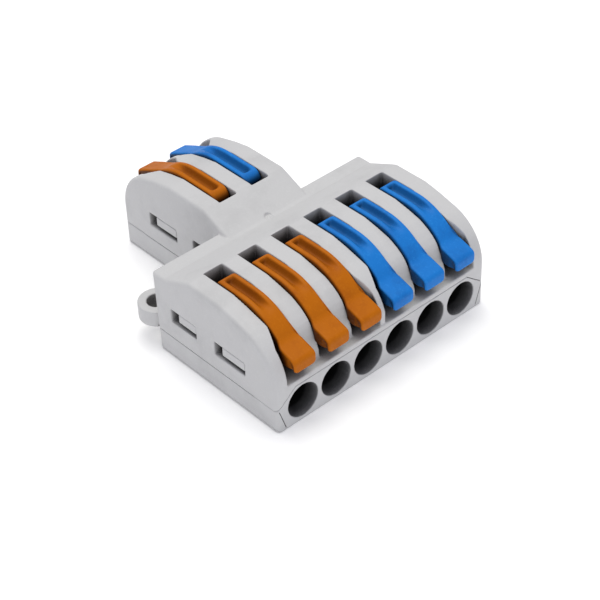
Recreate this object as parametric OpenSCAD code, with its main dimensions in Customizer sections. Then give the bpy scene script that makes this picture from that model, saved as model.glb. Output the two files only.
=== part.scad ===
// Lever wire connector: six wires on the front block, two on the rear block.
// Millimetres. Origin: middle of the footprint, on the surface it rests on.
// +X runs along the row of levers, -Y is the six-wire side, +Y the two-wire side, +Z is up.
// Each pole is drawn in its block's own frame: x across, y = depth in from the entry face, z up.

/* [Poles] */
// Spacing of neighbouring poles
pitch = 6.5; // [6.3:0.1:6.8]
// Poles on the front block
front_poles = 6; // [6]
// Poles on the rear block
rear_poles = 2; // [2]

/* [Housing] */
// Length over both entry faces
body_l = 51.2; // [50.8:0.1:51.6]
// Height of the flat top
body_h = 16.9; // [16.7:0.1:17.2]
// Outer wall beyond the last pole's cell
end_wall = 1.75; // [1.65:0.05:1.95]
// Height of the valley between the blocks
valley_z = 14.35; // [13.8:0.05:14.8]
// Depth of the wide block
wide_d = 27.1; // [26.7:0.1:27.5]
// Radius of the moulded outer edges
edge_r = 0.6; // [0.5:0.1:1]
// Height of the joint line between housing and base
seam_z = 4; // [3.8:0.1:4.3]
// Height of the joint line over the wire entries
plate_z = 6.9; // [6.7:0.1:7.1]
// Top of the shelf under the lever tabs
shelf_z = 7.8; // [7.6:0.1:8]
// Gap at the joint line
seam_gap = 0.06; // [0.04:0.02:0.12]

/* [Wire entries] */
// Height of the entry axis
entry_z = 3.5; // [3.4:0.05:3.6]
// Radius of the funnel at its mouth
mouth_r = 2.9; // [2.6:0.05:2.95]
// Radius of the straight part of the entry
bore_r = 2.2; // [2:0.05:2.4]
// Depth of the funnel
funnel_d = 2; // [1.5:0.1:2.5]
// Thickness of the wall that holds the entries
entry_wall = 5; // [4.6:0.1:5.2]

/* [Levers] */
// Width of the slot
slot_w = 3.48; // [3.4:0.02:3.6]
// Width of the lever's arm
arm_w = 3.2; // [3:0.05:3.25]
// Width of the lever's finger tab
tab_w = 4.14; // [3.9:0.05:4.4]
// Rear end of the slot
slot_end = 18.95; // [18.7:0.05:19.2]
// Depth of the lever's pivot
pivot_d = 13; // [12.8:0.1:13.2]
// Height of the lever's pivot
pivot_z = 12.3; // [12.1:0.1:12.4]
// Radius of the pivot pins
pin_r = 1.6; // [1.4:0.05:1.7]
// Radial play of the pins in their seats
pin_play = 0.05; // [0.02:0.01:0.08]
// Angle to which every lever is drawn open
open_angle = 0; // [0:5:90]

/* [Rear levers] */
// How much deeper the rear pivots, springs and slot ends sit than the front ones
rear_set = 1.75; // [1.6:0.05:1.9]
// How much deeper the rear finger tabs sit
rear_tab_in = 0.8; // [0.6:0.05:1]
// Width of the rear finger tabs
rear_tab_w = 3.4; // [3.2:0.05:3.42]
// How much higher the rear finger tabs stand than the front ones
rear_tab_rise = 0.7; // [0.5:0.05:0.8]

/* [Metal parts] */
// Thickness of the busbars
bar_t = 0.9; // [0.8:0.05:1]
// Underside of the busbars
bar_z = 5; // [4.95:0.05:5.05]
// Thickness of the spring strip
strip_t = 0.35; // [0.3:0.05:0.4]
// Width of the spring strip
strip_w = 3.2; // [3:0.05:3.3]

/* [Mounting ears] */
// Radius of the ear
ear_r = 3.05; // [2.95:0.05:3.4]
// Radius of the screw hole
ear_hole_r = 1.65; // [1.6:0.05:1.8]
// Ear centre, sideways from the middle
ear_x = 19; // [18:0.1:19.5]
// Ear centre, behind the middle
ear_y = 4.3; // [4.1:0.1:4.6]
// Height of the ear's underside
ear_z = 3.5; // [3.4:0.05:4.5]
// Thickness of the ear
ear_t = 2.85; // [2:0.05:3]

/* [Hidden] */
$fn = 48;
housing_color = [0.80, 0.80, 0.81];
base_color = [0.77, 0.77, 0.80];
orange = [0.80, 0.42, 0.10];
blue = [0.13, 0.48, 0.84];
copper = [0.80, 0.72, 0.62];
steel = [0.72, 0.73, 0.75];
// Reach past everything, run of a cut past a face, and lap of joined solids
far = 60;
past = 1;
lap = 0.1;
// Distance of each face from the origin, which is midway between the tips of the tabs
front_l = (body_l - rear_tab_in) / 2;
rear_l = (body_l + rear_tab_in) / 2;
wide_w = front_poles * pitch + 2 * end_wall;
narrow_w = rear_poles * pitch + 2 * end_wall;
// The nose of each block is an arc, then a slight rise to the flat top.
nose_r = 8.07;
nose_z = 7.68;
rise_angle = 105;
rise_middle = [9.4, 16.35];
rise_end = 12.4;
slope_top = 18.6;
slope_end = 24.4;
crest_l = 0.9;
crest_drop = 0.35;
edge_steps = 4;
inner_corner_r = 1.6;
// Entry plate: run of its sloped ends, and the line that goes on to the foot
plate_slope = 3.7;
plate_tail = 0.8;
corner_line_w = 0.2;
corner_line_top = 0.38;
corner_line_foot = 1.57;
// Inside walls
side_wall = 1.7;
floor_t = 1.25;
roof_t = 1.8;
chamber_w = 4.6;
rib_z = 6;
strip_front = 18.1;
strip_back = 22.9;
well_back = 23.4;
core_front = 20.4;
seat_depth = 0.7;
recess_d = 5;
recess_end = 7.6;
recess_wall = 2.2;
taper_start = 2.2;
rear_recess_wall = 1.5;
rear_recess_d = 6.3;
rear_taper_start = 4.6;
fin_w = 1;
fin_start = 0.25;
// Latches: [near end, far end, lower edge, upper edge] of each side window
windows = [[6.7, 13.4, 6.8, 9.25], [17.4, 23.2, 7.1, 9.55]];
latch_gap_end = 1.7;
latch_gap_low = 0.85;
latch_fit = 0.04;
latch_x = 1.5;
latch_t = 1.1;
pocket_play = 0.1;
plug_play = 0.05;
ear_web = 5.6;
ear_web_l = 2;
ear_web_shift = 1.2;
// Lever side view
arm_r = 10;
arm_c = [10.8, 7.1];
arm_start = 142.5;
rear_arm_start = 124;
rear_heel_reach = 1.2;
rear_heel_corner_r = 1.7;
heel_d = 15.15;
heel_r = 2.6;
heel_corner_r = 1.15;
hub_r = 2.9;
notch_d = 2.5;
pin_l = 0.65;
groove_w = 1.5;
groove_depth = 0.4;
groove_front = 115;
// Clamp spring side view
leg_d = 9;
leg_low = 3.8;
loop_d = 16.2;
loop_top = 9.15;
bend_r = 0.9;
spring_toe = 10.3;
window_w = 2.4;
window_low = 4.6;
window_high = 7.4;
tongue_w = 2.2;
tongue_tip = 8.3;
tongue_step = 10;
bar_w = 3;
bar_gap = 0.75;
ledge_w = 0.6;
ledge_floor = 0.5;

function arc(c, r, a0, a1, n) =
    [for (i = [0:n]) let (a = a0 + (a1 - a0) * i / n) c + r * [cos(a), sin(a)]];
function pole_x(i, n) = (i - (n - 1) / 2) * pitch;

// Extrudes an outline of [depth, height] across x, centred.
module across(w) {
    rotate([90, 0, 90]) linear_extrude(w, center = true) children();
}
module front_block() {
    translate([0, -front_l, 0]) children();
}
module rear_block() {
    translate([0, rear_l, 0]) rotate([0, 0, 180]) children();
}
module slab(x0, x1, y0, y1, z0, z1) {
    translate([x0, y0, z0]) cube([x1 - x0, y1 - y0, z1 - z0]);
}

// ---- Outer shape ----
module nose_outline(set = 0) {
    polygon(concat(
        [[0, 0]],
        arc([nose_r, nose_z], nose_r, 180, rise_angle, 14),
        [rise_middle, [rise_end, body_h], [slope_top + set, body_h],
         [slope_top + crest_l + set, body_h - crest_drop],
         [slope_end + set, valley_z], [slope_end + set, 0]]
    ));
}
module valley_outline() {
    polygon([[0.5, 0], [0.5, 8], [8, valley_z], [wide_d, valley_z], [wide_d - 0.4, 0]]);
}
// Hulls ever smaller outlines towards both ends, which rounds every outer edge.
module soft_across(w) {
    hull()
        for (k = [0:edge_steps])
            let (a = 90 * k / edge_steps)
                across(w - 2 * edge_r * (1 - sin(a)))
                    offset(delta = -edge_r * (1 - cos(a))) children();
}
// Fills the upright inner corner where the narrow block meets the wide one.
module inner_corner_fillet(side) {
    r = inner_corner_r;
    x = side * narrow_w / 2;
    y = wide_d - front_l;
    x_low = side < 0 ? x - r : x - lap;
    difference() {
        slab(x_low, x_low + r + lap, y - lap, y + r, edge_r / 2, valley_z - edge_r);
        translate([x + side * r, y + r, 0]) cylinder(r = r, h = far);
    }
}
module outer_shape() {
    front_block() soft_across(wide_w) nose_outline();
    front_block() soft_across(wide_w) valley_outline();
    rear_block() soft_across(narrow_w) nose_outline(rear_set);
    for (side = [-1, 1]) inner_corner_fillet(side);
}
// Region of the entry plate on the face: flat over the entries, falling to the corners.
module plate_outline(w, grow) {
    polygon([
        [-w / 2 - past, -past], [-w / 2 - past, seam_z - plate_tail + grow], [-w / 2, seam_z + grow],
        [-w / 2 + plate_slope, plate_z + grow], [w / 2 - plate_slope, plate_z + grow],
        [w / 2, seam_z + grow], [w / 2 + past, seam_z - plate_tail + grow], [w / 2 + past, -past]
    ]);
}
module upright(depth) {
    translate([0, depth, 0]) rotate([90, 0, 0]) linear_extrude(depth + past) children();
}
module plate_region(w, depth, grow) {
    upright(depth) plate_outline(w, grow);
}
// Fine line from the end of the joint line down to the foot, at both corners of the face
module corner_lines(w) {
    for (side = [-1, 1])
        upright(edge_r + seam_gap) polygon([
            [side * (w / 2 - corner_line_top), seam_z + corner_line_w],
            [side * (w / 2 - corner_line_foot), 0], [side * (w / 2 - corner_line_foot), -past],
            [side * (w / 2 - corner_line_foot - corner_line_w), -past],
            [side * (w / 2 - corner_line_foot - corner_line_w), 0],
            [side * (w / 2 - corner_line_top - corner_line_w), seam_z + corner_line_w]
        ]);
}

// ---- Upper housing ----
module slot_cuts(n, set) {
    for (i = [0:n - 1]) translate([pole_x(i, n), 0, 0]) {
        slab(-slot_w / 2, slot_w / 2, entry_wall, slot_end + set, 0, far);
        slab(-slot_w / 2, slot_w / 2, -past, slot_end + set, shelf_z, far);
        slab(-slot_w / 2, slot_w / 2, core_front + set, well_back, 0, valley_z - roof_t);
        translate([-slot_w / 2 - seat_depth, pivot_d + set, pivot_z])
            rotate([0, 90, 0]) cylinder(r = pin_r + pin_play, h = slot_w + 2 * seat_depth);
    }
}
// The nose of each wall between levers stands back from the tabs.
module divider_nose() {
    across(pitch - slot_w) polygon([
        [1.5, shelf_z - lap], [1.67, 9.2], [2.2, 10.65], [2.6, 11.7], [3.12, 12.65], [3.64, 13.4],
        [4.3, 14.1], [5.3, 14.85], [6.35, 15.42], [recess_end, 16], [recess_end, shelf_z - lap]
    ]);
}
module full_nose(w) {
    across(w) intersection() {
        nose_outline();
        translate([fin_start, shelf_z - lap]) square([recess_end, far]);
    }
}
// The middle wall narrows to a fin that reaches the lip.
module tapered_nose(from, to) {
    half = (pitch - slot_w) / 2;
    intersection() {
        full_nose(2 * half);
        linear_extrude(far) polygon([
            [-fin_w / 2, from], [fin_w / 2, from], [half, to], [half, recess_end],
            [-half, recess_end], [-half, to]
        ]);
    }
}
// Open recess over the shelf, so that the wide tabs have room; it narrows to the outer slots.
module tab_recess(w, n, set) {
    front = w / 2 - (set > 0 ? rear_recess_wall : recess_wall);
    back = pole_x(n - 1, n) + slot_w / 2;
    from = set > 0 ? rear_taper_start : taper_start;
    to = set > 0 ? rear_recess_d : recess_d;
    difference() {
        translate([0, 0, shelf_z]) linear_extrude(far) polygon([
            [-front, -past], [front, -past], [front, from], [back, to], [back, recess_end],
            [-back, recess_end], [-back, to], [-front, from]
        ]);
        for (i = [1:n - 1]) translate([pole_x(i, n) - pitch / 2, 0, 0])
            if (i == n / 2) tapered_nose(from, to); else divider_nose();
        full_nose(fin_w);
    }
}
module window_cut(w, side, win) {
    inner = w / 2 - side_wall - lap;
    outer = w / 2 + past;
    slab(side < 0 ? -outer : inner, side < 0 ? -inner : outer, win[0], win[1], win[2], win[3]);
}
module latch_pocket(w, side, win) {
    x = side * (w / 2 - latch_x - latch_t / 2);
    slab(x - latch_t / 2 - pocket_play, x + latch_t / 2 + pocket_play,
         win[0] - pocket_play, win[1] + pocket_play, 0, win[3] + pocket_play);
}
module block_cavities(w, n, set) {
    slot_cuts(n, set);
    tab_recess(w, n, set);
    slab(-w / 2 + side_wall, w / 2 - side_wall, entry_wall, well_back, -past, rib_z + plug_play);
    plate_region(w, entry_wall + plug_play, seam_gap / 2);
    for (side = [-1, 1], win = windows) {
        window_cut(w, side, win);
        latch_pocket(w, side, win);
    }
}
module ear(side) {
    wall_y = wide_d - front_l - ear_y;
    translate([side * ear_x, ear_y, ear_z]) difference() {
        union() {
            cylinder(r = ear_r, h = ear_t);
            slab(-side * ear_web_shift - ear_web / 2, -side * ear_web_shift + ear_web / 2,
                 wall_y - past, wall_y - past + ear_web_l, 0, ear_t);
        }
        slab(-far, far, -far, wall_y + plug_play, -past, seam_z + seam_gap / 2 - ear_z);
        translate([0, 0, -past]) cylinder(r = ear_hole_r, h = ear_t + 2 * past);
    }
}
module upper_housing() {
    color(housing_color) {
        difference() {
            outer_shape();
            slab(-far, far, -far, far, -past, seam_z + seam_gap / 2);
            front_block() block_cavities(wide_w, front_poles, 0);
            rear_block() block_cavities(narrow_w, rear_poles, rear_set);
            for (side = [-1, 1]) link_channel(side);
            divider_between_bars(plug_play);
        }
        for (side = [-1, 1]) ear(side);
    }
}
// Passage for the busbar that joins the two blocks
module link_channel(side) {
    x = side * pitch / 2;
    slab(x - slot_w / 2, x + slot_w / 2, well_back - front_l - lap, rear_l - well_back + lap,
         0, rib_z + plug_play);
}

// ---- Lower base ----
module entries(n) {
    for (i = [0:n - 1]) translate([pole_x(i, n), 0, entry_z]) rotate([-90, 0, 0]) {
        cylinder(r1 = mouth_r, r2 = bore_r, h = funnel_d);
        cylinder(r = bore_r, h = entry_wall + past);
    }
}
module base_hollow(w) {
    slab(-w / 2 + side_wall, w / 2 - side_wall, entry_wall, well_back, floor_t, far);
}
// Ribs between the wire chambers, then low ribs and two ledges that carry the busbars
module base_ribs(w, n) {
    rib = (pitch - chamber_w) / 2;
    inner = w / 2 - side_wall;
    for (i = [0:n]) {
        x = pole_x(i, n) - pitch / 2;
        if (i > 0 && i < n)
            slab(x - rib, x + rib, entry_wall - lap, strip_front - ledge_w + lap, ledge_floor, rib_z);
        slab(max(x - rib, -inner), min(x + rib, inner),
             strip_front - ledge_w, well_back, ledge_floor, bar_z);
    }
    slab(-inner, inner, strip_front - ledge_w, strip_front, ledge_floor, bar_z);
    slab(-inner, inner, strip_back - ledge_w, strip_back, ledge_floor, bar_z);
}
// A latch arm rises inside the side wall; its tooth fills the window but for an L-shaped gap,
// whose broad end is the far one on the front block and the near one on the rear block.
module latch(w, side, win, gap_near) {
    x = side * (w / 2 - latch_x - latch_t / 2);
    arm_start = win[0] + latch_fit + (gap_near ? latch_gap_end : 0);
    arm_end = win[1] - latch_fit - (gap_near ? 0 : latch_gap_end);
    slab(x - latch_t / 2, x + latch_t / 2, arm_start, arm_end, floor_t - lap, win[3] - latch_fit);
    outer = w / 2 - latch_fit;
    inner = outer - latch_x;
    slab(side < 0 ? -outer : inner, side < 0 ? -inner : outer,
         arm_start, arm_end, win[2] + latch_gap_low, win[3] - latch_fit);
}
module base_block_adds(w, n, gap_near) {
    base_ribs(w, n);
    for (side = [-1, 1], win = windows) latch(w, side, win, gap_near);
}
// Wall between the two busbars, and the groove in the housing that it stands in
module divider_between_bars(play) {
    slab(-bar_gap - play, bar_gap + play, strip_front - front_l - ledge_w, rear_l - well_back + lap,
         ledge_floor, rib_z + play);
}
module lower_base() {
    color(base_color) difference() {
        union() {
            difference() {
                intersection() {
                    outer_shape();
                    union() {
                        slab(-far, far, -far, far, -past, seam_z - seam_gap / 2);
                        front_block() plate_region(wide_w, entry_wall, -seam_gap / 2);
                        rear_block() plate_region(narrow_w, entry_wall, -seam_gap / 2);
                    }
                }
                front_block() base_hollow(wide_w);
                rear_block() base_hollow(narrow_w);
                for (side = [-1, 1])
                    slab(side * pitch / 2 - slot_w / 2, side * pitch / 2 + slot_w / 2,
                         well_back - front_l - lap, rear_l - well_back + lap, bar_z - plug_play, far);
            }
            front_block() base_block_adds(wide_w, front_poles, false);
            rear_block() base_block_adds(narrow_w, rear_poles, true);
            divider_between_bars(0);
        }
        front_block() entries(front_poles);
        rear_block() entries(rear_poles);
        front_block() corner_lines(wide_w);
        rear_block() corner_lines(narrow_w);
    }
}

// ---- Busbars ----
module tongue(x, set) {
    step = tongue_step + set;
    slab(x - tongue_w / 2, x + tongue_w / 2, tongue_tip + set, step + lap, bar_z, bar_z + bar_t);
    slab(x - bar_w / 2, x + bar_w / 2, step, strip_back, bar_z, bar_z + bar_t);
}
// Three tongues and a strip in the front block, a link to the rear, and one tongue there
module busbar(side) {
    half = front_poles / 2;
    first = side < 0 ? 0 : half;
    strip_from = pole_x(first, front_poles) - bar_w / 2;
    strip_to = pole_x(first + half - 1, front_poles) + bar_w / 2;
    link_x = side * pitch / 2;
    color(copper) {
        front_block() {
            for (i = [first:first + half - 1]) tongue(pole_x(i, front_poles), 0);
            slab(strip_from, strip_to, strip_front, strip_back, bar_z, bar_z + bar_t);
        }
        rear_block() tongue(-link_x, rear_set);
        slab(link_x - bar_w / 2, link_x + bar_w / 2, strip_back - front_l - lap,
             rear_l - strip_back + lap, bar_z, bar_z + bar_t);
    }
}
module busbar_line() busbar(-1);
module busbar_neutral() busbar(1);

// ---- Clamp springs ----
// A strip bent into a loop: its front leg has a window for the busbar's tongue and the wire.
module spring_outline() {
    loop_low = bar_z + bar_t + plug_play;
    loop_r = (loop_top - loop_low) / 2;
    loop_c = [loop_d, loop_top - loop_r];
    bend_c = [leg_d + bend_r, loop_top - bend_r];
    polygon(concat(
        [[leg_d, leg_low]], arc(bend_c, bend_r, 180, 90, 6),
        arc(loop_c, loop_r, 90, -90, 16), [[spring_toe, loop_low]],
        [[spring_toe, loop_low + strip_t]], arc(loop_c, loop_r - strip_t, -90, 90, 16),
        arc(bend_c, bend_r - strip_t, 90, 180, 6), [[leg_d + strip_t, leg_low]]
    ));
}
module clamp_spring() {
    color(steel) difference() {
        across(strip_w) spring_outline();
        slab(-window_w / 2, window_w / 2, leg_d - past, leg_d + past, window_low, window_high);
    }
}

// ---- Levers ----
// extra is how much farther from the tab the pivot and the heel sit on the rear levers,
// whose tabs also stand higher and run straight on to the arm.
function tip_arcs(lift) =
    concat(arc([-0.35, 10.3 + lift], 0.5, 270, 180, 5), arc([0.05, 11.35 + lift], 0.9, 180, 110, 6));
module arm_outline(extra, lift) {
    heel = heel_d + extra;
    corner = lift > 0 ? rear_heel_corner_r : heel_corner_r;
    side = heel + heel_corner_r + (lift > 0 ? rear_heel_reach : 0);
    polygon(concat(
        tip_arcs(lift), arc(arm_c, arm_r, lift > 0 ? rear_arm_start : arm_start, 90, 16),
        arc([side - corner, arm_c[1] + arm_r - corner], corner, 90, 0, 6),
        [[side, pivot_z], [pivot_d + extra, pivot_z], [10.4, 12.6], [8, 13.3],
         [5.5, 12.5 + lift / 2], [3.4, 11.1 + lift], [1.7, 10.3 + lift]]
    ));
    translate([pivot_d + extra, pivot_z]) circle(r = hub_r);
    translate([heel, pivot_z]) circle(r = heel_r);
}
// The wide part of the lever, under the finger
module tab_outline(lift) {
    translate([0, lift]) polygon(concat(
        tip_arcs(0), [[notch_d, 13.1], [notch_d - 0.3, 11.6], [notch_d - 0.7, 10.4]]
    ));
}
// Long shallow groove that runs out of the arm's top towards the tab
module groove_outline(extra) {
    floor_r = arm_r - groove_depth;
    end = heel_d + extra + (extra > 0 ? rear_heel_reach / 2 : 0);
    polygon(concat(
        arc(arm_c, floor_r, groove_front, 90, 10),
        [[end, arm_c[1] + floor_r], [end, body_h + past], [arm_c[0] - arm_r / 2, body_h + past]]
    ));
}
module lever(extra, width) {
    lift = extra > 0 ? rear_tab_rise : 0;
    difference() {
        union() {
            across(arm_w) arm_outline(extra, lift);
            across(width) tab_outline(lift);
            translate([-slot_w / 2 - pin_l, pivot_d + extra, pivot_z])
                rotate([0, 90, 0]) cylinder(r = pin_r, h = slot_w + 2 * pin_l);
        }
        across(groove_w) groove_outline(extra);
    }
}
// A lever turned about its pivot; opening lifts the tab up and back.
module placed_lever(extra, width) {
    translate([0, pivot_d + extra, pivot_z]) rotate([-open_angle, 0, 0])
        translate([0, -pivot_d - extra, -pivot_z]) lever(extra, width);
}
module front_lever(i) {
    color(i <= front_poles / 2 ? orange : blue)
        front_block() translate([pole_x(i - 1, front_poles), 0, 0]) placed_lever(0, tab_w);
}
module rear_lever(side) {
    color(side < 0 ? orange : blue) rear_block() translate([-side * pitch / 2, rear_tab_in, 0])
        placed_lever(rear_set - rear_tab_in, rear_tab_w);
}
module front_spring(i) {
    front_block() translate([pole_x(i - 1, front_poles), 0, 0]) clamp_spring();
}
module rear_spring(side) {
    rear_block() translate([-side * pitch / 2, rear_set, 0]) clamp_spring();
}

upper_housing();
lower_base();
busbar_line();
busbar_neutral();
front_lever(1);  // lever_front_1
front_lever(2);  // lever_front_2
front_lever(3);  // lever_front_3
front_lever(4);  // lever_front_4
front_lever(5);  // lever_front_5
front_lever(6);  // lever_front_6
rear_lever(-1);  // lever_rear_left
rear_lever(1);  // lever_rear_right
front_spring(1);  // clamp_spring_front_1
front_spring(2);  // clamp_spring_front_2
front_spring(3);  // clamp_spring_front_3
front_spring(4);  // clamp_spring_front_4
front_spring(5);  // clamp_spring_front_5
front_spring(6);  // clamp_spring_front_6
rear_spring(-1);  // clamp_spring_rear_left
rear_spring(1);  // clamp_spring_rear_right
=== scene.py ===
import math
from collections import namedtuple

import bmesh
import bpy
import numpy as np
from mathutils import Matrix, Vector


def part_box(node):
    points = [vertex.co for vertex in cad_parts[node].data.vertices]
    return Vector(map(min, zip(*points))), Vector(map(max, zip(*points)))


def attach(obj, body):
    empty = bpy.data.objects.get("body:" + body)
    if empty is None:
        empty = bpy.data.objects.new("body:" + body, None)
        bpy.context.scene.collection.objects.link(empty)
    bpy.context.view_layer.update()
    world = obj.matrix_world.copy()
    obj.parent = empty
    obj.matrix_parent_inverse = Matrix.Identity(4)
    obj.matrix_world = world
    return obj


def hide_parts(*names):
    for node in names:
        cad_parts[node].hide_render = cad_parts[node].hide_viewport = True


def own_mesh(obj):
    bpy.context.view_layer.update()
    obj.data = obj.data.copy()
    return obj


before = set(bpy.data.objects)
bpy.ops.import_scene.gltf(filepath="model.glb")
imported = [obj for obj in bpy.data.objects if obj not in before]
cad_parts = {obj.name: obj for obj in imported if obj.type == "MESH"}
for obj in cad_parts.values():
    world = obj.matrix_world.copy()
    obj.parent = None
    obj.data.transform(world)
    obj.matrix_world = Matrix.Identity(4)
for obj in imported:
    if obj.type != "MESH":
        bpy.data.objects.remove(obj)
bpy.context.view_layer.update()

MM = 0.001

# ---- Dimensions of the housing and base ----
FRONT_FACE, REAR_FACE = (corner.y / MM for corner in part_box("upper_housing"))
WIDE_HALF, NARROW_HALF = 21.25, 8.25
GATE_MARK = (0.05, -0.2, 14.35)   # where the mould was filled, in the middle of the valley
GATE_RING = ((0.3, -0.15), (0.66, -0.15), (0.76, 0.3), (0.26, 0.3))  # cut round it: (radius, height)
CORNER_LINES = ((0.43, 3.9), (1.57, 0.35))  # line on the base's corners: (in from the side, height)
CORNER_LINE_WIDTH = 0.16
CORNER_LINE_DEPTH = 0.22
CORNER_LINE_TAPER = 0.6           # the line's width at its bottom, as a share of its width outside
CUTTER_CLEAR = 0.5                # how far a cutter stands out of the face it cuts

# ---- Dimensions of the levers ----
PIVOT = (13.0, 12.3)              # (depth, height) of the front levers' axis
PIN_RADIUS = 1.6
PIN_HALF_LENGTH = 2.39
PIN_CHAMFER = 0.15
HUB_RADIUS = 2.9
HUB_END = 172.5                   # degrees on the hub where the underside begins
ARM_CENTRE = (10.8, 7.1)
ARM_RADIUS = 10.0
ARM_HALF_WIDTH = 1.6
TAB_ROUND = (0.05, 11.35)         # centre of the round on the tab's upper tip
TAB_ROUND_RADIUS = 0.9
TAB_ROUND_END = 110               # degrees where the tab's top leaves that round
LIP_ROUND = (-0.35, 10.3)         # centre of the tighter round under it
LIP_ROUND_RADIUS = 0.5
UNDERSIDE = ((8.0, 13.3, 0), (5.5, 12.5, 0.5), (3.4, 11.1, 1), (1.7, 10.3, 1))  # (depth, height, lifts)
TAB_CORNER_RADIUS = 0.7           # the tab's lower corners are rounded
TAB_CORNER_TOP = 10.6             # below this height
TAB_CORNER_DEPTHS = (0.2, 1.8)    # and less and less between these depths
STEP_DEPTHS = (2.1, 3.3)          # the tab narrows to the arm between these depths
KINK_BLEND = 0.7                  # run of the fillet where the tab's top meets the arm
HEEL_DEPTH = 15.15
HEEL_RADIUS = 2.6
HEEL_REACH = 1.15                 # how far the heel's top reaches past its centre
GROOVE_DEPTH = 0.95
GROOVE_HALF_WIDTH = 0.85
GROOVE_HEIGHTS = (13.6, 14.4)     # the groove is cut in the arm's top, above these heights
GROOVE_FRONT = (5.8, 9.4)         # it fades in between these depths
GROOVE_REAR = (14.9, 15.7)        # and out between these
LEVER_EDGE = 0.34                 # rounding of a lever's long edges
LEVER_EDGE_STEPS = 5
LEVER_TOP_COLUMNS = 17
OUTLINE_STEP = 0.22

# What differs between the two blocks' levers: back, how much farther the pivot and heel are from the
# tab; lift, how much higher the tab stands; arm_start, the degrees on the arm's arc where the tab's
# top begins; heel_reach, how much farther the heel's top reaches; set_in, how much deeper in from its
# face the whole lever sits.
Lever = namedtuple("Lever", "back lift arm_start tab_half_width heel_reach heel_corner set_in")
FRONT_LEVER = Lever(0, 0, 142.5, 2.07, 0, 1.15, 0)
REAR_LEVER = Lever(0.95, 0.7, 124, 1.7, 1.2, 1.7, 0.8)

# ---- Dimensions of the metal parts ----
BUSBAR_BEVEL = 0.12
SPRING_BEVEL = 0.05

# ---- Mesh detail: voxel size in millimetres, rounds of smoothing, faces kept ----
CASING_DETAIL = ((0.12, 4, 180_000))
LEVER_DETAIL = ((0.07, 5, 40_000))


# ---- Helpers ----
def add_object(name, mesh):
    piece = bpy.data.objects.new(name, mesh)
    bpy.context.scene.collection.objects.link(piece)
    return piece


def cad_copy(node, name):
    """A welded copy of a CAD node's mesh, free to be reworked."""
    piece = add_object(name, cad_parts[node].data.copy())
    piece.data.materials.clear()
    work = bmesh.new()
    work.from_mesh(piece.data)
    bmesh.ops.remove_doubles(work, verts=work.verts, dist=1e-7)
    work.to_mesh(piece.data)
    work.free()
    return piece


def apply_modifiers(piece):
    graph = bpy.context.evaluated_depsgraph_get()
    mesh = bpy.data.meshes.new_from_object(piece.evaluated_get(graph), depsgraph=graph)
    piece.modifiers.clear()
    piece.data = mesh


def combine(piece, other, operation):
    """Joins or cuts piece with the closed solid other, which is used up."""
    step = piece.modifiers.new("combine", "BOOLEAN")
    step.operation = operation
    step.solver = "MANIFOLD"
    step.object = other
    apply_modifiers(piece)
    bpy.data.objects.remove(other)


def soften(piece, voxel, rounds, faces):
    """Rounds every edge as a mould does: a fine even mesh, smoothed, then thinned where it is flat."""
    grain = piece.modifiers.new("grain", "REMESH")
    grain.mode = "VOXEL"
    grain.voxel_size = voxel * MM
    smooth = piece.modifiers.new("smooth", "SMOOTH")
    smooth.factor = 0.5
    smooth.iterations = rounds
    apply_modifiers(piece)
    thin = piece.modifiers.new("thin", "DECIMATE")
    thin.ratio = min(1, faces / (2 * len(piece.data.polygons)))
    apply_modifiers(piece)
    piece.data.shade_smooth()


def bevelled(piece, width, segments=2, angle=35):
    edge = piece.modifiers.new("edge", "BEVEL")
    edge.width = width * MM
    edge.segments = segments
    edge.limit_method = "ANGLE"
    edge.angle_limit = math.radians(angle)
    edge.use_clamp_overlap = True
    apply_modifiers(piece)
    piece.data.shade_smooth()
    piece.data.set_sharp_from_angle(angle=math.radians(angle))


def lathe(name, profile, turns=48):
    """Turns a closed outline of (radius, height) in millimetres about the Z axis."""
    work = bmesh.new()
    rings = []
    for k in range(turns):
        angle = 2 * math.pi * k / turns
        out = Vector((math.cos(angle), math.sin(angle), 0))
        rings.append([work.verts.new((out * r + Vector((0, 0, z))) * MM) for r, z in profile])
    for k in range(turns):
        here, there = rings[k], rings[(k + 1) % turns]
        for i in range(len(profile)):
            j = (i + 1) % len(profile)
            work.faces.new((here[i], there[i], there[j], here[j]))
    bmesh.ops.remove_doubles(work, verts=work.verts, dist=1e-8)
    bmesh.ops.recalc_face_normals(work, faces=work.faces)
    mesh = bpy.data.meshes.new(name)
    work.to_mesh(mesh)
    work.free()
    return add_object(name, mesh)


def arc(centre, radius, start, end, count):
    angles = np.radians(np.linspace(start, end, count))
    return [(centre[0] + radius * math.cos(a), centre[1] + radius * math.sin(a)) for a in angles]


def smooth_step(x, low, high):
    t = min(max((x - low) / (high - low), 0), 1)
    return t * t * (3 - 2 * t)


def curve_through(points, count):
    """Catmull-Rom curve through points, with count steps on each span."""
    ends = [points[0]] + list(points) + [points[-1]]
    result = []
    for k in range(len(points) - 1):
        p = [np.array(q) for q in ends[k:k + 4]]
        for t in np.linspace(0, 1, count, endpoint=False):
            a = 2 * p[1] + (p[2] - p[0]) * t
            b = (2 * p[0] - 5 * p[1] + 4 * p[2] - p[3]) * t ** 2
            c = (3 * p[1] - 3 * p[2] + p[3] - p[0]) * t ** 3
            result.append(tuple((a + b + c) / 2))
    result.append(tuple(points[-1]))
    return result


def resample(points, spacing):
    """Points every spacing millimetres along a closed outline."""
    closed = np.array(points + [points[0]])
    run = np.concatenate([[0], np.cumsum(np.linalg.norm(np.diff(closed, axis=0), axis=1))])
    at = np.linspace(0, run[-1], int(run[-1] / spacing), endpoint=False)
    return np.column_stack([np.interp(at, run, closed[:, axis]) for axis in (0, 1)])


# ---- Materials: noise scales count per metre, so 2600 gives specks about 0.4 mm apart ----
AIR_REACH = 8 * MM                # how far off a neighbour still darkens a point
OCCLUSION_SAMPLES = 8


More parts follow.
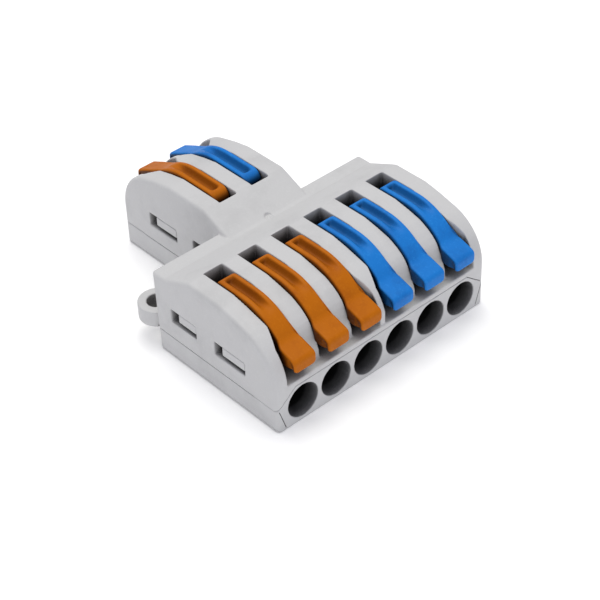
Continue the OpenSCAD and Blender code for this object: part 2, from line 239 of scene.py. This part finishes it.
class Shader:
    """Small helper around a material's node tree."""

    def __init__(self, name):
        self.material = bpy.data.materials.new(name)
        self.material.use_nodes = True
        self.tree = self.material.node_tree
        self.surface = self.tree.nodes["Principled BSDF"]
        self.place = self.tree.nodes.new("ShaderNodeTexCoord").outputs["Object"]

    def link(self, source, target):
        self.tree.links.new(source, target)

    def noise(self, scale, detail=3.0, rough=0.5, stretch=None):
        node = self.tree.nodes.new("ShaderNodeTexNoise")
        node.inputs["Scale"].default_value = scale
        node.inputs["Detail"].default_value = detail
        node.inputs["Roughness"].default_value = rough
        source = self.place
        if stretch:
            mapping = self.tree.nodes.new("ShaderNodeMapping")
            mapping.inputs["Scale"].default_value = stretch
            self.link(source, mapping.inputs["Vector"])
            source = mapping.outputs["Vector"]
        self.link(source, node.inputs["Vector"])
        return node.outputs["Fac"]

    def ramp(self, source, stops):
        node = self.tree.nodes.new("ShaderNodeValToRGB")
        elements = node.color_ramp.elements
        while len(elements) < len(stops):
            elements.new(0.5)
        for element, (position, colour) in zip(elements, stops):
            element.position = position
            element.color = (*colour, 1)
        self.link(source, node.inputs["Fac"])
        return node.outputs["Color"]

    def spread(self, source, low, high, from_low=0.3, from_high=0.7):
        node = self.tree.nodes.new("ShaderNodeMapRange")
        node.inputs["From Min"].default_value = from_low
        node.inputs["From Max"].default_value = from_high
        node.inputs["To Min"].default_value = low
        node.inputs["To Max"].default_value = high
        self.link(source, node.inputs["Value"])
        return node.outputs["Result"]

    def mix(self, factor, first, second, blend="MIX"):
        node = self.tree.nodes.new("ShaderNodeMix")
        node.data_type = "RGBA"
        node.blend_type = blend
        for value, name in ((factor, "Factor"), (first, "A"), (second, "B")):
            socket = node.inputs[name]
            if isinstance(value, (int, float)):
                socket.default_value = value
            elif isinstance(value, tuple):
                socket.default_value = (*value, 1)
            else:
                self.link(value, socket)
        return node.outputs["Result"]

    def bump(self, source, distance, strength, under=None):
        node = self.tree.nodes.new("ShaderNodeBump")
        node.inputs["Distance"].default_value = distance
        node.inputs["Strength"].default_value = strength
        self.link(source, node.inputs["Height"])
        if under:
            self.link(under, node.inputs["Normal"])
        return node.outputs["Normal"]


def painted_cavity_shade(shader, stops, alone=False):
    """Painted shade: colour darkened by ambient occlusion in deep gaps and holes, as this piece makes
    them alone or with its neighbours.
    """
    # painted shade: the occlusion result is turned into a darker colour, not dust
    node = shader.tree.nodes.new("ShaderNodeAmbientOcclusion")
    node.inputs["Distance"].default_value = AIR_REACH
    node.samples = OCCLUSION_SAMPLES
    node.only_local = alone
    return shader.ramp(node.outputs["AO"], stops)


def plastic(name, deep, main, light, rough, gloss, cavity_shade, grain=0.25, bore_shade=None):
    """Moulded plastic: clouded colour with pale specks, painted shade darkening its gaps and holes, with
    fine spark-eroded grain.
    """
    shader = Shader(name)
    clouds = shader.ramp(shader.noise(160, 5, 0.6), [(0.3, deep), (0.5, main), (0.7, main)])
    specks = shader.mix(shader.spread(shader.noise(2600, 2), 0, 0.35, 0.55, 0.75), clouds, light)
    # painted shade: occlusion from this piece and its neighbours darkens the colour in gaps
    colour = shader.mix(1.0, specks, painted_cavity_shade(shader, cavity_shade), "MULTIPLY")
    # painted shade: occlusion from this piece alone darkens the bores almost to black
    if bore_shade:
        colour = shader.mix(1.0, colour, painted_cavity_shade(shader, bore_shade, alone=True), "MULTIPLY")
    shader.link(colour, shader.surface.inputs["Base Color"])
    sheen = shader.spread(shader.noise(420, 4), rough - 0.06, rough + 0.07)
    shader.link(sheen, shader.surface.inputs["Roughness"])
    fine = shader.bump(shader.noise(5200, 2), 0.00002, grain)
    broad = shader.bump(shader.noise(240, 3), 0.00006, grain * 0.6, fine)
    shader.link(broad, shader.surface.inputs["Normal"])
    shader.surface.inputs["IOR"].default_value = 1.5
    shader.surface.inputs["Specular IOR Level"].default_value = gloss
    return shader.material


def metal(name, dark, light, rough, stretch):
    """Rolled strip: drawn lines along one way, cloudy tarnish."""
    shader = Shader(name)
    lines = shader.noise(900, 4, 0.6, stretch)
    tarnish = shader.ramp(shader.noise(500, 4), [(0.35, dark), (0.6, light)])
    colour = shader.mix(shader.spread(lines, 0, 0.5), tarnish, light)
    shader.link(colour, shader.surface.inputs["Base Color"])
    shader.link(shader.spread(lines, rough - 0.08, rough + 0.1), shader.surface.inputs["Roughness"])
    shader.link(shader.bump(lines, 0.00001, 0.3), shader.surface.inputs["Normal"])
    shader.surface.inputs["Metallic"].default_value = 1.0
    return shader.material


def floor_material():
    """Nearly white and hardly glossy, with a little light of its own to wash out the shadows."""
    shader = Shader("pale_floor")
    clouds = shader.ramp(shader.noise(9, 3), [(0.3, (0.96, 0.96, 0.96)), (0.7, (0.98, 0.98, 0.98))])
    shader.link(clouds, shader.surface.inputs["Base Color"])
    shader.surface.inputs["Roughness"].default_value = 0.9
    shader.surface.inputs["Specular IOR Level"].default_value = 0.1
    shader.surface.inputs["Emission Color"].default_value = (1, 1, 1, 1)
    shader.surface.inputs["Emission Strength"].default_value = 0.17
    return shader.material


# Share of open air round a point, and the painted shade it gives: colour darkened where occlusion stands
# in for shade.
CASING_CAVITY_SHADE = [
    (0.06, (0.02, 0.018, 0.017)),
    (0.2, (0.22, 0.205, 0.2)),
    (0.32, (0.76, 0.75, 0.74)),
    (0.43, (1, 1, 1)),
]
# painted shade: the wire bores darkened to near black inside
BORE_PAINTED_SHADE = [
    (0.35, (0.012, 0.012, 0.012)),
    (0.58, (0.045, 0.045, 0.048)),
    (0.76, (0.35, 0.35, 0.36)),
    (0.88, (1, 1, 1)),
]
# painted shade: the levers' groove, tab sides and undersides darkened
LEVER_CAVITY_SHADE = [
    (0.1, (0.05, 0.04, 0.04)),
    (0.5, (0.34, 0.32, 0.3)),
    (0.72, (0.66, 0.64, 0.62)),
    (0.92, (1, 1, 1)),
]
GREY = ((0.52, 0.52, 0.52), (0.57, 0.57, 0.57), (0.64, 0.64, 0.64))  # deep, main and light
ORANGE = ((0.4, 0.1, 0.002), (0.49, 0.134, 0.002), (0.6, 0.185, 0.008))
BLUE = ((0.008, 0.14, 0.48), (0.01, 0.19, 0.61), (0.03, 0.29, 0.76))
MATERIALS = {
    "housing_plastic": plastic("housing_plastic", *GREY, 0.52, 0.4, CASING_CAVITY_SHADE),
    "base_plastic": plastic("base_plastic", *GREY, 0.53, 0.4, CASING_CAVITY_SHADE, bore_shade=BORE_PAINTED_SHADE),
    "lever_orange": plastic("lever_orange", *ORANGE, 0.5, 0.1, LEVER_CAVITY_SHADE, 0.2),
    "lever_blue": plastic("lever_blue", *BLUE, 0.48, 0.14, LEVER_CAVITY_SHADE, 0.2),
    "tinned_copper": metal("tinned_copper", (0.55, 0.5, 0.44), (0.82, 0.8, 0.77), 0.34, (0.15, 3, 3)),
    "spring_steel": metal("spring_steel", (0.4, 0.41, 0.43), (0.68, 0.69, 0.71), 0.28, (3, 0.15, 0.15)),
}


def finish_piece(piece, body, node, slot):
    piece.data.materials.clear()
    piece.data.materials.append(MATERIALS[slot])
    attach(piece, body)
    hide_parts(node)


# ---- Housing and base ----
def gate_cutter():
    """Small ring-shaped dimple round the stub left where the mould was filled."""
    ring = lathe("gate_ring", GATE_RING, 32)
    ring.data.transform(Matrix.Translation(Vector(GATE_MARK) * MM))
    return ring


def corner_line_cutter(face_y, inward, side, half_width):
    """Thin wedge that draws the line from the joint line's end down to the foot."""
    half = CORNER_LINE_WIDTH / 2
    outside, inside = (half, CUTTER_CLEAR), (half * CORNER_LINE_TAPER, -CORNER_LINE_DEPTH)
    section = [(-outside[0], outside[1]), outside, inside, (-inside[0], inside[1])]
    work = bmesh.new()
    rings = []
    for inset, z in CORNER_LINES:
        x = side * (half_width - inset)
        corners = [Vector((x + dx, face_y - inward * out, z)) for dx, out in section]
        rings.append([work.verts.new(corner * MM) for corner in corners])
    top, foot = rings
    for k in range(4):
        work.faces.new((top[k], top[(k + 1) % 4], foot[(k + 1) % 4], foot[k]))
    work.faces.new(top)
    work.faces.new(foot[::-1])
    bmesh.ops.recalc_face_normals(work, faces=work.faces)
    mesh = bpy.data.meshes.new("corner_line")
    work.to_mesh(mesh)
    work.free()
    return add_object("corner_line", mesh)


def build_casing():
    """The gate's ring is softened with the housing, and the fine corner lines are cut after it."""
    housing = cad_copy("upper_housing", "upper_housing_moulded")
    combine(housing, gate_cutter(), "DIFFERENCE")
    soften(housing, *CASING_DETAIL)
    finish_piece(housing, "root", "upper_housing", "housing_plastic")
    base = cad_copy("lower_base", "lower_base_moulded")
    soften(base, *CASING_DETAIL)
    for face_y, inward, half_width in ((FRONT_FACE, 1, WIDE_HALF), (REAR_FACE, -1, NARROW_HALF)):
        for side in (-1, 1):
            combine(base, corner_line_cutter(face_y, inward, side, half_width), "DIFFERENCE")
    base.data.shade_smooth()
    finish_piece(base, "root", "lower_base", "base_plastic")


# ---- Levers ----
def blend(start, corner, end, count):
    """Points of a smooth turn from start to end, round the corner."""
    start, corner, end = (np.array(p) for p in (start, corner, end))
    shares = np.linspace(0, 1, count)
    return [tuple(start * (1 - t) ** 2 + corner * 2 * t * (1 - t) + end * t * t) for t in shares]


def lever_outline(kind):
    """Side view of a lever, (depth, height), anticlockwise from under the finger tab."""
    lip = (LIP_ROUND[0], LIP_ROUND[1] + kind.lift)
    under = [(depth, height + kind.lift * lifts) for depth, height, lifts in UNDERSIDE]
    under = curve_through(under + [(lip[0], lip[1] - LIP_ROUND_RADIUS)], 10)
    tip = arc(lip, LIP_ROUND_RADIUS, 270, 180, 8)
    tip += arc((TAB_ROUND[0], TAB_ROUND[1] + kind.lift), TAB_ROUND_RADIUS, 180, TAB_ROUND_END, 12)
    kink = arc(ARM_CENTRE, ARM_RADIUS, kind.arm_start, 90, 2)[0]
    arm_start = kind.arm_start - math.degrees(KINK_BLEND / ARM_RADIUS)
    arm = arc(ARM_CENTRE, ARM_RADIUS, arm_start, 90, 60)
    tab_top = np.array(tip[-1]) - np.array(kink)
    tab_end = np.array(kink) + tab_top * KINK_BLEND / np.linalg.norm(tab_top)
    heel = HEEL_DEPTH + kind.back
    heel_top = ARM_CENTRE[1] + ARM_RADIUS
    corner = kind.heel_corner
    reach = HEEL_REACH + kind.heel_reach
    side = math.degrees(math.acos(reach / HEEL_RADIUS))
    points = tip + blend(tab_end, kink, arm[0], 9) + arm[1:]
    points += arc((heel + reach - corner, heel_top - corner), corner, 90, 0, 14)
    points += arc((heel, PIVOT[1]), HEEL_RADIUS, side, -90, 40)
    points += arc((PIVOT[0] + kind.back, PIVOT[1]), HUB_RADIUS, 270, HUB_END, 30)
    return resample(points + under[:-1], OUTLINE_STEP)


def lever_half_width(kind, depth, height):
    """Wide under the finger, stepping in to the arm, with the tab's lower corners rounded."""
    step = (kind.tab_half_width - ARM_HALF_WIDTH) * smooth_step(depth, *STEP_DEPTHS)
    half = kind.tab_half_width - step
    drop = min((TAB_CORNER_TOP + kind.lift - height) / TAB_CORNER_RADIUS, 1)
    if drop > 0:
        cut = TAB_CORNER_RADIUS * (1 - math.sqrt(1 - drop * drop))
        half -= cut * (1 - smooth_step(depth, *TAB_CORNER_DEPTHS))
    return half


def groove(kind, depth, height, across):
    """Depth of the long groove in the arm's top at this place."""
    on_top = smooth_step(height, *GROOVE_HEIGHTS)
    from_rear = depth - kind.back - kind.heel_reach / 2
    along = smooth_step(depth, *GROOVE_FRONT) * (1 - smooth_step(from_rear, *GROOVE_REAR))
    side = min(abs(across) / GROOVE_HALF_WIDTH, 1)
    return GROOVE_DEPTH * on_top * along * (1 - side * side)


def lever_mesh(kind):
    """A skin of rings, each the whole side view: rounded edge, top with its groove, rounded edge."""
    outline = lever_outline(kind)
    count = len(outline)
    along = np.roll(outline, -1, axis=0) - np.roll(outline, 1, axis=0)
    along /= np.linalg.norm(along, axis=1)[:, None]
    inward = np.column_stack([along[:, 1], -along[:, 0]])
    turns = [k / LEVER_EDGE_STEPS * math.pi / 2 for k in range(LEVER_EDGE_STEPS)]
    columns = [("edge", -1, turn) for turn in turns]
    columns += [("top", side, 0) for side in np.linspace(-1, 1, LEVER_TOP_COLUMNS)]
    columns += [("edge", 1, turn) for turn in reversed(turns)]
    work = bmesh.new()
    rings = []
    for part, side, turn in columns:
        ring = []
        for (depth, height), (in_depth, in_height) in zip(outline, inward):
            half = lever_half_width(kind, depth, height)
            if part == "edge":
                x = side * (half - LEVER_EDGE * (1 - math.cos(turn)))
                sink = LEVER_EDGE * (1 - math.sin(turn))
            else:
                x = side * (half - LEVER_EDGE)
                sink = groove(kind, depth, height, x)
            point = Vector((x, depth + in_depth * sink, height + in_height * sink))
            ring.append(work.verts.new(point * MM))
        rings.append(ring)
    for here, there in zip(rings, rings[1:]):
        for i in range(count):
            j = (i + 1) % count
            work.faces.new((here[i], here[j], there[j], there[i]))
    for ring in (rings[0], rings[-1]):
        work.faces.new(ring)
    bmesh.ops.triangulate(work, faces=[f for f in work.faces if len(f.verts) > 4])
    bmesh.ops.recalc_face_normals(work, faces=work.faces)
    mesh = bpy.data.meshes.new("lever_shape")
    work.to_mesh(mesh)
    work.free()
    return mesh


def lever_shape(kind):
    """One lever with its pivot pins, drawn from its block's face, with soft moulded edges."""
    shape = add_object("lever_shape", lever_mesh(kind))
    face, rim = PIN_RADIUS - PIN_CHAMFER, PIN_HALF_LENGTH - PIN_CHAMFER
    half_profile = [(0, PIN_HALF_LENGTH), (face, PIN_HALF_LENGTH), (PIN_RADIUS, rim)]
    pins = lathe("pins", [(r, -z) for r, z in half_profile] + half_profile[::-1])
    place = Matrix.Translation(Vector((0, PIVOT[0] + kind.back, PIVOT[1])) * MM)
    pins.data.transform(place @ Matrix.Rotation(math.pi / 2, 4, "Y"))
    combine(shape, pins, "UNION")
    soften(shape, *LEVER_DETAIL)
    shape.data.transform(Matrix.Translation((0, kind.set_in * MM, 0)))
    return shape


def build_levers():
    """The front levers stand as they are drawn, and the rear ones are turned to their own face."""
    turned = Matrix.Rotation(math.pi, 4, "Z")
    front_place = Matrix.Translation((0, FRONT_FACE * MM, 0))
    rear_place = Matrix.Translation((0, REAR_FACE * MM, 0)) @ turned
    front, rear = lever_shape(FRONT_LEVER), lever_shape(REAR_LEVER)
    for node in sorted(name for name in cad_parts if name.startswith("lever_")):
        shape, place = (rear, rear_place) if node.startswith("lever_rear") else (front, front_place)
        low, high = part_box(node)
        middle = (low.x + high.x) / 2
        piece = add_object(node + "_moulded", shape.data.copy())
        piece.data.transform(Matrix.Translation((middle, 0, 0)) @ place)
        finish_piece(piece, node, node, "lever_orange" if middle < 0 else "lever_blue")
    bpy.data.objects.remove(front)
    bpy.data.objects.remove(rear)


# ---- Metal parts ----
def build_metal():
    for node in ("busbar_line", "busbar_neutral"):
        piece = cad_copy(node, node + "_strip")
        bevelled(piece, BUSBAR_BEVEL)
        finish_piece(piece, "root", node, "tinned_copper")
    for node in sorted(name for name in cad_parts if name.startswith("clamp_spring")):
        piece = cad_copy(node, node + "_strip")
        bevelled(piece, SPRING_BEVEL)
        finish_piece(piece, "root", node, "spring_steel")
        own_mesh(piece)


# ---- Stage, in metres ----
def build_floor():
    mesh = bpy.data.meshes.new("floor")
    work = bmesh.new()
    bmesh.ops.create_grid(work, x_segments=8, y_segments=8, size=2)
    work.to_mesh(mesh)
    work.free()
    floor = add_object("floor", mesh)
    floor.location.z = -0.00002   # just under the part's feet, so that the two faces don't flicker
    floor.data.materials.append(floor_material())


def add_light(name, place, target, size, power, colour=(1, 1, 1)):
    data = bpy.data.lights.new(name, "AREA")
    data.shape = "DISK"
    data.size = size
    data.energy = power
    data.color = colour
    light = bpy.data.objects.new(name, data)
    bpy.context.scene.collection.objects.link(light)
    light.location = place
    light.rotation_euler = (Vector(target) - Vector(place)).to_track_quat("-Z", "Y").to_euler()


def build_lights():
    """A cool sky all round, a warmer large softbox above and behind, a weak one at the front."""
    world = bpy.data.worlds.new("studio")
    world.use_nodes = True
    world.node_tree.nodes["Background"].inputs["Color"].default_value = (0.9, 0.905, 1.0, 1)
    world.node_tree.nodes["Background"].inputs["Strength"].default_value = 0.54
    bpy.context.scene.world = world
    add_light("top_softbox", (0.05, 0.12, 0.6), (0, 0, 0), size=0.5, power=2.3, colour=(1, 0.985, 0.915))
    add_light("front_softbox", (-0.1, -0.5, 0.35), (0, 0, 0.005), size=0.3, power=0.35)
    bpy.context.scene.view_settings.view_transform = "Standard"


def build_camera():
    """Looks down along the object from the front left, with the long lens of a catalogue picture."""
    azimuth, elevation, roll = (math.radians(a) for a in (-41.077, 39.28, -2.261))
    target = Vector((-4.12, -11.4, 6.89)) * MM
    distance = 260.3 * MM
    level = math.cos(elevation)
    back = Vector((math.sin(azimuth) * level, -math.cos(azimuth) * level, math.sin(elevation)))
    right = Vector((math.cos(azimuth), math.sin(azimuth), 0))
    up = back.cross(right)
    right_rolled = math.cos(roll) * right + math.sin(roll) * up
    up_rolled = -math.sin(roll) * right + math.cos(roll) * up
    turn = Matrix((right_rolled, up_rolled, back)).transposed().to_4x4()
    data = bpy.data.cameras.new("catalogue_camera")
    data.lens = 104.27
    data.sensor_width = 36
    data.clip_start = 0.01
    camera = bpy.data.objects.new("catalogue_camera", data)
    bpy.context.scene.collection.objects.link(camera)
    camera.matrix_world = Matrix.Translation(target + back * distance) @ turn
    bpy.context.scene.camera = camera


build_casing()
build_levers()
build_metal()
build_floor()
build_lights()
build_camera()
